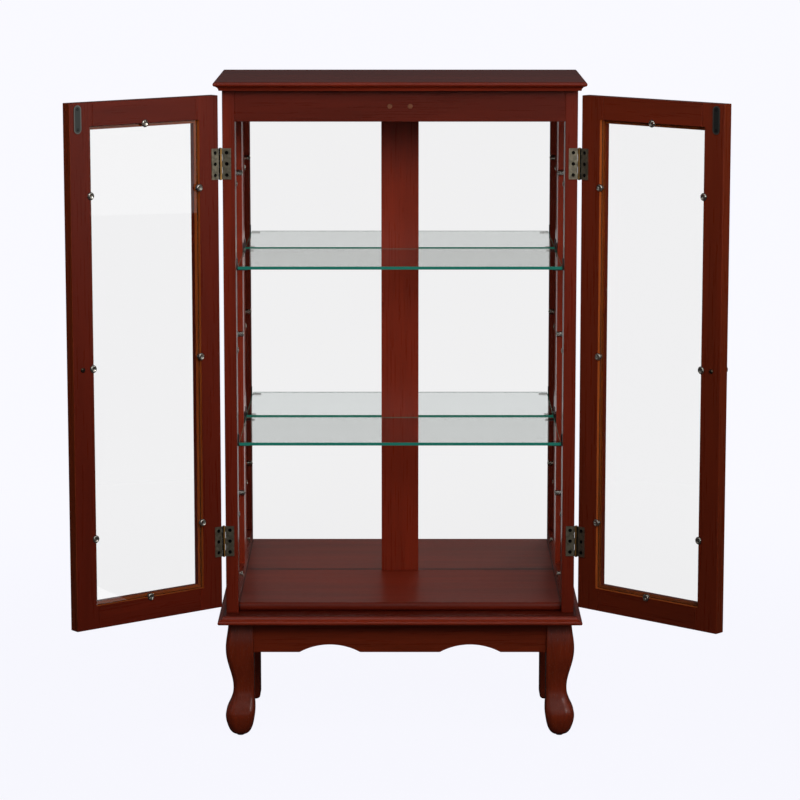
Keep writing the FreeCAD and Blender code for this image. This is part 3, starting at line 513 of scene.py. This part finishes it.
def screw_metal(name, spans, hinge=(0, 0, 0), turn=0.0):
    """Screws of two finishes in one node: dark ones where the piece's own X lies in one of the spans."""
    material, start = new_finish(name)
    spot = start.add("ShaderNodeTexCoord", output="Object")
    reach = abs(own_place(start, spot, hinge, turn).part(0))
    darkened = 0.0
    for low, high in spans:
        darkened = ((reach > low) * (reach < high)).larger(darkened)
    cloud = start.add("ShaderNodeTexNoise", {}, {"Vector": spot, "Scale": 700.0, "Detail": 2.0})
    shade = darkened.blend(opaque(NICKEL), opaque(DARK_SCREW))
    shade = (cloud * 0.5).blend(shade, opaque([GRIME * part for part in DARK_SCREW]))
    close_finish(start, {"Base Color": shade, "Metallic": 1.0, "Roughness": 0.30 + (cloud - 0.5) * 0.2})
    return material


dress(screw_metal("cabinet_screw_metal", [FRAME_LEAF_SPAN]), "cabinet_screws")
for body, hand in DOOR_SIDES.items():
    spans = [DOOR_LEAF_SPAN, STRIKE_SPAN]
    dress(screw_metal(f"{body}_screw_metal", spans, *door_pose(body, hand)), f"{body}_screws")
print("a door's screws are dark between", spans)

# %% [markdown]
# A strike plate of dark steel sits at the top of each door's free stile, where the magnet meets it, and its
# rim is lighter. The plate is a slot with round ends, so the rim is all that lies far from its middle line.

# %% Strike plates
STRIKE_INSET, STRIKE_DROP = 0.0148, 0.0255
STRIKE_RADIUS, STRIKE_STRAIGHT = 0.00675, 0.0155
RIM_START, RIM_END = STRIKE_RADIUS - 0.0022, STRIKE_RADIUS - 0.0014
STRIKE_STEEL = (0.080, 0.084, 0.080)
STRIKE_RIM = (0.190, 0.196, 0.180)


def strike_metal(name, hinge, turn, hand):
    """Dark steel with a lighter rim."""
    material, start = new_finish(name)
    spot = start.add("ShaderNodeTexCoord", output="Object")
    place = own_place(start, spot, hinge, turn)
    aside = place.part(0) - hand * (DOOR_EDGE - STRIKE_INSET)
    past_straight = (abs(place.part(2) - (DOOR_HIGH - STRIKE_DROP)) - STRIKE_STRAIGHT).larger(0.0)
    offset = start.add("ShaderNodeCombineXYZ", {}, {"X": aside, "Z": past_straight})
    reach = start.add("ShaderNodeVectorMath", {"operation": "LENGTH"}, {0: offset}, output="Value")
    rim = reach.ease(RIM_START, RIM_END)
    fine = start.add("ShaderNodeTexNoise", {}, {"Vector": spot, "Scale": 900.0, "Detail": 2.0})
    close_finish(start, {"Base Color": rim.blend(opaque(STRIKE_STEEL), opaque(STRIKE_RIM)), "Metallic": 1.0,
                         "Roughness": 0.36 + (fine - 0.5) * 0.15})
    return material


for body, hand in DOOR_SIDES.items():
    dress(strike_metal(f"{body}_strike_steel", *door_pose(body, hand), hand), f"{body}_strike_plate")
print("rim from", round(RIM_START, 5), "off the plate's middle line")

# %% [markdown]
# The catches and glides are moulded plastic with a fine spark texture. The shelf brackets have a black
# powder coat, which is as dull, and the back panel is hardboard, whose face is flecked with short fibers.
# All are one recipe with its own colors and grain.

# %% Plastic and hardboard
SPARKS = 1800.0
PRESSED_FIBERS = 900.0
TEXTURE_DEPTH = 0.0002


def moulded(name, color, dark, rough, grain=SPARKS):
    """Moulded plastic or pressed fiber with a fine texture."""
    material, start = new_finish(name)
    spot = start.add("ShaderNodeTexCoord", output="Object")
    fleck = start.add("ShaderNodeTexNoise", {}, {"Vector": spot, "Scale": grain, "Detail": 2.0})
    cloud = start.add("ShaderNodeTexNoise", {}, {"Vector": spot, "Scale": grain / 60, "Detail": 3.0})
    shade = (fleck.ease(0.35, 0.65) * 0.6 + cloud * 0.4).blend(opaque(dark), opaque(color))
    bump = start.add("ShaderNodeBump", {}, {"Height": fleck, "Strength": 0.15, "Distance": TEXTURE_DEPTH})
    close_finish(start, {"Base Color": shade, "Roughness": rough + (fleck - 0.5) * 0.2, "Normal": bump})
    return material


dress(moulded("catch_plastic", (0.150, 0.034, 0.004), (0.090, 0.020, 0.003), 0.60), "magnet_catches")
dress(moulded("bracket_coat", (0.010, 0.010, 0.011), (0.005, 0.005, 0.006), 0.50), "lower_shelf_brackets",
      "upper_shelf_brackets")
dress(moulded("glide_plastic", (0.050, 0.040, 0.034), (0.025, 0.020, 0.017), 0.50), "foot_glides")
dress(moulded("hardboard", (0.250, 0.140, 0.072), (0.150, 0.080, 0.040), 0.62, PRESSED_FIBERS), "back_panel")
print("finishes so far:", len(bpy.data.materials))

# %% [markdown]
# ## The knobs
#
# A small turned knob sits on the outer face of each door. The solid's profile is straight facets. Here it
# is turned as on a lathe: a line of points is extruded in edit mode, spun about the knob's axis and closed
# at seat and crown. A subdivision surface would round the seat's rim too, so a fine profile is smoothed by
# angle.

# %% Turning a piece
MERGE_DISTANCE = 1e-6
SMOOTH_ANGLE = math.radians(40)


def turned(name, profile, steps):
    """A piece turned about Z from a profile of (radius, height), its seat at the origin."""
    bpy.ops.object.select_all(action="DESELECT")
    bpy.ops.mesh.primitive_plane_add(size=0.001)
    piece = bpy.context.object
    piece.name = name
    bpy.ops.object.mode_set(mode="EDIT")
    bpy.ops.mesh.select_all(action="SELECT")
    bpy.ops.mesh.merge(type="CENTER")
    bpy.ops.transform.translate(value=(profile[0][0], 0, profile[0][1]))
    for before, after in zip(profile, profile[1:]):
        step = (after[0] - before[0], 0, after[1] - before[1])
        bpy.ops.mesh.extrude_region_move(TRANSFORM_OT_translate={"value": step})
    bpy.ops.mesh.select_all(action="SELECT")
    bpy.ops.mesh.spin(steps=steps, angle=math.tau, center=(0, 0, 0), axis=(0, 0, 1))
    bpy.ops.mesh.select_all(action="SELECT")
    bpy.ops.mesh.remove_doubles(threshold=MERGE_DISTANCE)
    bpy.ops.mesh.select_all(action="DESELECT")
    bpy.ops.mesh.select_non_manifold()
    bpy.ops.mesh.edge_face_add()
    bpy.ops.mesh.select_all(action="SELECT")
    bpy.ops.mesh.normals_make_consistent(inside=False)
    bpy.ops.object.mode_set(mode="OBJECT")
    bpy.ops.object.shade_smooth_by_angle(angle=SMOOTH_ANGLE)
    return piece


def copied(pattern, name):
    """A copy of a piece that has its own mesh."""
    piece = pattern.copy()
    piece.data = pattern.data.copy()
    piece.name = name
    bpy.context.collection.objects.link(piece)
    return piece


print("a turned piece is smooth up to", round(math.degrees(SMOOTH_ANGLE)), "degrees")

# %% [markdown]
# The knob is turned once and copied for each door, with its own mesh. The copy is set on the door's outer
# face by transforming that mesh, so its object stays at the origin. The first knob has then served as a
# pattern and goes.

# %% The knobs on the doors
KNOB_PROFILE = ((0.00600, 0.0), (0.00600, 0.0010), (0.00545, 0.0018), (0.00400, 0.0027), (0.00325, 0.0048),
                (0.00340, 0.0071), (0.00460, 0.0092), (0.00640, 0.0109), (0.00752, 0.0127), (0.00770, 0.0142),
                (0.00700, 0.0160), (0.00520, 0.0173), (0.00270, 0.0180), (0.00080, 0.0182))
KNOB_STEPS = 32
KNOB_INSET = 0.018
DOOR_THICKNESS = 0.0185
QUARTER_TURN = math.radians(90)
knob_brass = metal("knob_brass", (0.44, 0.31, 0.13), (0.20, 0.135, 0.060), 0.24)


def door_swing(body, hand):
    """From a closed door's own frame about its hinge to the open door."""
    hinge, turn = door_pose(body, hand)
    return Matrix.Translation(hinge) @ Matrix.Rotation(turn, 4, "Z")


pattern = turned("knob_pattern", KNOB_PROFILE, KNOB_STEPS)
for body, hand in DOOR_SIDES.items():
    knob = copied(pattern, f"{body}_turned_knob")
    seat = (hand * (DOOR_EDGE - KNOB_INSET), DOOR_BACK - DOOR_THICKNESS, (DOOR_LOW + DOOR_HIGH) / 2)
    on_face = Matrix.Translation(seat) @ Matrix.Rotation(QUARTER_TURN, 4, "X")
    knob.data.transform(door_swing(body, hand) @ on_face)
    knob.data.materials.append(knob_brass)
    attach(knob, body)
    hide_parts(f"{body}_knob")
    print(knob.name, len(knob.data.polygons), "faces at", [round(side, 4) for side in seat])
bpy.data.objects.remove(pattern)

# %% [markdown]
# ## The caps of the clips
#
# Eight round clips hold each door's pane. On the cabinet they are pressed caps with a rolled rim around the
# screw, while the solids are plain discs. Their lowest edge is dark with painted shade, where a cap meets the
# door's face. A ring of its own could show that, but a mask by the height above the door's face needs no more
# geometry.

# %% The caps' metal
CAP_NICKEL = (0.58, 0.55, 0.48)
CAP_CONTACT_SHADE = (0.020, 0.012, 0.010)
CAP_SHADE_HEIGHT = 0.00042


def cap_metal(name, hinge, turn):
    """Bright nickel, with painted shade where a cap meets the door's inner face."""
    material, start = new_finish(name)
    spot = start.add("ShaderNodeTexCoord", output="Object")
    place = own_place(start, spot, hinge, turn)
    cloud = start.add("ShaderNodeTexNoise", {}, {"Vector": spot, "Scale": 500.0, "Detail": 2.0})
    # painted shade: the cap's lowest edge, where it meets the door's face
    edge = place.part(1) < DOOR_BACK + CAP_SHADE_HEIGHT
    shade = (cloud * 0.4).blend(opaque(CAP_NICKEL), opaque([0.5 * part for part in CAP_NICKEL]))
    close_finish(start, {"Base Color": edge.blend(shade, opaque(CAP_CONTACT_SHADE)), "Metallic": 1.0 - edge,
                         "Roughness": 0.28 + (cloud - 0.5) * 0.2})
    return material


cap_finishes = {
    body: cap_metal(f"{body}_cap_nickel", *door_pose(body, hand)) for body, hand in DOOR_SIDES.items()}
print("cap finishes:", [finish.name for finish in cap_finishes.values()])

# %% [markdown]
# A cap is turned as the knob is, and copied for every clip. The copies are laid over the solids' discs, two
# at the middle of the rails and six along the stiles, and joined to one piece for each door.

# %% The caps on the doors
CAP_PROFILE = ((0.0062, 0.0), (0.0062, 0.0003), (0.0056, 0.0004), (0.0055, 0.0011), (0.0049, 0.0017),
               (0.0042, 0.0018), (0.0036, 0.00135), (0.0006, 0.00125))
CAP_STEPS = 24
CLIP_REACH = 0.0006
CLIP_SPACING = 0.273
near, far = REBATE_NEAR + CLIP_REACH, REBATE_FAR - CLIP_REACH
bottom, top = REBATE_LOW + CLIP_REACH, REBATE_HIGH - CLIP_REACH
middle, level = (near + far) / 2, (bottom + top) / 2
spots = [(middle, bottom), (middle, top)]
spots += [(aside, level + step * CLIP_SPACING) for aside in (near, far) for step in (-1, 0, 1)]

pattern = turned("cap_pattern", CAP_PROFILE, CAP_STEPS)
for body, hand in DOOR_SIDES.items():
    caps = [copied(pattern, f"{body}_clip_cap") for spot in spots]
    bpy.ops.object.select_all(action="DESELECT")
    for cap, (aside, up) in zip(caps, spots):
        on_face = Matrix.Translation((hand * aside, DOOR_BACK, up)) @ Matrix.Rotation(-QUARTER_TURN, 4, "X")
        cap.data.transform(door_swing(body, hand) @ on_face)
        cap.select_set(True)
    bpy.context.view_layer.objects.active = caps[0]
    bpy.ops.object.join()
    caps[0].name = f"{body}_clip_caps"
    caps[0].data.materials.append(cap_finishes[body])
    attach(caps[0], body)
    print(caps[0].name, len(spots), "caps", len(caps[0].data.polygons), "faces")
bpy.data.objects.remove(pattern)

# %% [markdown]
# ## The studio
#
# The picture is a cut-out on white, while the wood shows no white glare, so it was lit by soft boxes in dim
# surroundings. One white world would light the wood from all sides. Light Path tells the rays apart
# instead: those from the camera, through glass and off the mirror meet a white backdrop, and every other
# ray meets dim surroundings.

# %% Which rays show the backdrop
HEAD_ON, AHEAD, HORIZON = 10.0, 0.9, 0.001
NEVER, ONCE, TWICE = 0.5, 1.5, 2.5


def sees_backdrop(start, place):
    """One for rays that show the backdrop: the camera's, through glass, and straight off the mirror.

    After a reflection, a ray shows it only where the place or direction lies ahead of the front, which is
    where the mirror throws it. The doors' panes throw it aside, where it is dim.
    After two, off a side pane and the mirror, a ray shows it only where it leaves straight for the front.
    Depths count whole bounces, so their limits lie half way between two counts.
    """
    ray = {name: start.add("ShaderNodeLightPath", output=name) for name in (
        "Is Camera Ray", "Is Transmission Ray", "Is Reflection Ray", "Is Singular Ray", "Glossy Depth",
        "Diffuse Depth")}
    bounces = ray["Glossy Depth"]
    sideways, depth = abs(place.part(0)), place.part(1)
    head_on = ((depth + sideways * HEAD_ON) < 0.0) * (place.part(2) < HORIZON) * (bounces < TWICE)
    ahead = (depth + sideways * AHEAD) < 0.0
    once = ahead * (bounces < ONCE)
    mirrored = ray["Is Reflection Ray"] * ray["Is Singular Ray"] * head_on.larger(once)
    through = ray["Is Transmission Ray"] * ahead.larger(bounces < NEVER)
    straight = ray["Diffuse Depth"] < NEVER
    return ray["Is Camera Ray"].larger(through.larger(mirrored) * straight)


print("most bounces that show the backdrop:", math.floor(ONCE), "and, head on,", math.floor(TWICE))

# %% [markdown]
# The surroundings have one brighter strip, low in front of the cabinet, as from a wall behind the camera.
# Gloss shows it and matte surfaces don't see it, so it gives the lacquer a faint sheen and adds no light.

# %% The world
BACKDROP = (0.939, 0.939, 1.0, 1.0)
FRONT_STRIP = (0.50, 0.50, 0.51, 1.0)
DIM_SURROUNDINGS = (0.08, 0.08, 0.082, 1.0)
STRIP_SIDES, STRIP_TOP, STRIP_FOOT = (-0.94, -0.84), (0.175, 0.19), (0.06, 0.10)

world = bpy.data.worlds.new("studio")
bpy.context.scene.world = world
world.use_nodes = True
world.node_tree.nodes.clear()
start = Wire(world.node_tree)
direction = start.add("ShaderNodeTexCoord", output="Generated")
height = direction.part(2)
beside = direction.part(1).ease(*STRIP_SIDES)
off_strip = beside.larger(height.ease(*STRIP_TOP)).larger(1 - height.ease(*STRIP_FOOT))
diffuse = start.add("ShaderNodeLightPath", output="Is Diffuse Ray")
around = off_strip.larger(diffuse).blend(FRONT_STRIP, DIM_SURROUNDINGS)
seen = sees_backdrop(start, direction).blend(around, BACKDROP)
sky = start.add("ShaderNodeBackground", {}, {"Color": seen})
start.add("ShaderNodeOutputWorld", {}, {"Surface": sky})
print("nodes in the world:", len(world.node_tree.nodes))

# %% [markdown]
# The floor is a wide plane of the backdrop's color. A matte floor alone would be gray and show its edge. So
# it glows as the backdrop does, and only near the cabinet is it partly a matte surface that catches the
# shadow. Further out that share fades, so the floor has no edge against the backdrop.

# %% Floor
FLOOR_SIZE = 60.0
SHADOW_SHARE = 0.035
SHADOW_NEAR, SHADOW_FAR = 0.7, 2.2
FLOOR_GLOW = 1.014
WHITE_PAPER = (0.90, 0.90, 0.95, 1.0)
DIM_PAPER = (0.07, 0.07, 0.07, 1.0)

bpy.ops.mesh.primitive_plane_add(size=FLOOR_SIZE)
floor = bpy.context.object
floor.name = "studio_floor"
floor_paper, start = new_finish("floor_paper")
spot = start.add("ShaderNodeTexCoord", output="Object")
reach = start.add("ShaderNodeVectorMath", {"operation": "LENGTH"}, {0: spot}, output="Value")
shown = sees_backdrop(start, spot)
share = shown * (1 - SHADOW_SHARE * (1 - reach.ease(SHADOW_NEAR, SHADOW_FAR)))
paper = start.add("ShaderNodeBsdfDiffuse", {}, {"Color": shown.blend(DIM_PAPER, WHITE_PAPER)})
glow = start.add("ShaderNodeEmission", {}, {"Color": BACKDROP, "Strength": FLOOR_GLOW})
mixed = start.add("ShaderNodeMixShader", {}, {0: share, 1: paper, 2: glow})
start.add("ShaderNodeOutputMaterial", {}, {"Surface": mixed})
floor.data.materials.append(floor_paper)
floor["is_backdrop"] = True
print("floor", FLOOR_SIZE, "m wide, with a shadow out to", SHADOW_FAR, "m")

# %% [markdown]
# Four soft boxes light the cabinet. The broad one overhead shades the doors from top to bottom. The boxes
# at the right are stronger than the one at the left, so the right door, which faces left, is the darker
# one. Two weak fills in front reach under the mouldings, and no surface reflects them. A third, flat before
# the mirror, is the light that the mirror throws back onto the wood inside, which the renderer leaves out.
# Two more stand behind, for the back and the sides.

# %% Soft boxes
# place and target in metres, width and height in metres, spread in degrees, power in watts
LAMPS = {
    "overhead_box": ((0.0, -1.6, 2.5), (0.0, -0.1, 0.7), (2.2, 1.2), 180, 15.4),
    "right_front_box": ((1.3, -2.6, 1.7), (0.0, -0.1, 1.1), (0.8, 1.0), 60, 3.1),
    "right_side_box": ((2.0, -1.3, 1.45), (-0.2, -0.2, 0.95), (1.6, 1.8), 180, 7.8),
    "left_side_box": ((-2.0, -1.3, 1.6), (0.2, -0.2, 0.95), (0.9, 1.4), 180, 1.9),
    "high_fill": ((0.0, -2.6, 1.8), (0.0, -0.1, 1.1), (1.6, 0.8), 60, 3.6),
    "mirror_fill": ((0.0, mirror_front - 0.004, 0.62), (0.0, -1.0, 0.62), (0.50, 0.76), 180, 0.55),
    "left_rear_fill": ((-1.8, 2.0, 0.9), (0.0, 0.1, 0.6), (1.2, 1.2), 180, 11.0),
    "right_rear_fill": ((1.8, 2.0, 0.9), (0.0, 0.1, 0.6), (1.2, 1.2), 180, 11.0),
    "low_fill": ((0.0, -4.0, 1.0), (0.0, 0.0, 0.6), (2.6, 1.4), 180, 7.4),
}
for name, (place, target, size, spread, power) in LAMPS.items():
    bpy.ops.object.light_add(type="AREA", location=place)
    lamp = bpy.context.object
    lamp.name = name
    lamp.data.shape = "RECTANGLE"
    lamp.data.size, lamp.data.size_y = size
    lamp.data.spread = math.radians(spread)
    lamp.data.energy = power
    lamp.rotation_euler = (Vector(target) - Vector(place)).to_track_quat("-Z", "Y").to_euler()
    lamp.visible_camera = False
    lamp.visible_transmission = False
    lamp.visible_glossy = not name.endswith("fill")
print("lamps:", len(LAMPS), "with", round(sum(lamp[-1] for lamp in LAMPS.values()), 2), "W")

# %% [markdown]
# ## The camera
#
# The picture was taken from in front, a little above the top board, with a long lens. Its uprights are
# parallel, as with a shifted lens. Other views would keep a shift, so the camera looks down by a few
# degrees instead, and its place and lens were fitted to the corners of the boards and doors.

# %% Camera
CAMERA_PLACE = (0.0, -5.415, 1.442)
CAMERA_PITCH = 9.438
CAMERA_LENS = 148.16
VIEW_END = 100.0

bpy.ops.object.camera_add(location=CAMERA_PLACE, rotation=(math.radians(90 - CAMERA_PITCH), 0, 0))
camera = bpy.context.object
camera.data.lens = CAMERA_LENS
camera.data.clip_end = VIEW_END
bpy.context.scene.camera = camera
print("camera:", CAMERA_PLACE, "pitch", CAMERA_PITCH, "lens", CAMERA_LENS)

# %% [markdown]
# ## Closing
#
# The box of the dressed cabinet is printed at the end, because the finish must not change the cabinet's size.

# %% Sizes and the end
low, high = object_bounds()
print("dressed box:", [round(side, 3) for side in high - low])
